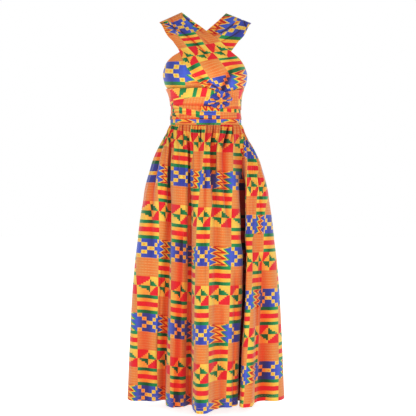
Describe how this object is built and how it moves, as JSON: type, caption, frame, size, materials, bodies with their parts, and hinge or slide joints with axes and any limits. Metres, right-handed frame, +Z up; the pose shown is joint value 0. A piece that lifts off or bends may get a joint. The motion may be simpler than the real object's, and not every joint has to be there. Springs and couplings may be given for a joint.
{
  "type": "maxi_dress",
  "caption": "Long wrap dress in a woven strip pattern print, with crossed wide straps, a wound waist and a full gathered skirt to the floor.",
  "frame": {"origin": "the middle between the two shoulder crests of the straps, where the wearer holds the dress up", "axes": "+Z up along the wearer's height, front of the dress faces -Y, viewer's right is +X"},
  "size_m": [0.584, 0.4936, 1.4296],
  "materials": {
    "front_panel_print": "matt printed cotton",
    "side_panel_print": "matt printed cotton",
    "back_panel_print": "matt printed cotton",
    "waistband_print": "matt printed cotton",
    "strap_left_print": "matt printed cotton",
    "strap_right_print": "matt printed cotton",
    "wrap_lower_print": "matt printed cotton",
    "wrap_left_print": "matt printed cotton",
    "wrap_right_print": "matt printed cotton",
    "wrap_twist_print": "matt printed cotton"
  },
  "bodies": {
    "root": {"skirt_front_panel": "front_panel_print", "skirt_side_panel": "side_panel_print", "skirt_back_panel": "back_panel_print", "waistband": "waistband_print", "strap_left": "strap_left_print", "strap_right": "strap_right_print", "wrap_lower": "wrap_lower_print", "wrap_upper_left": "wrap_left_print", "wrap_upper_right": "wrap_right_print", "wrap_twist": "wrap_twist_print"}
  },
  "joints": []
}
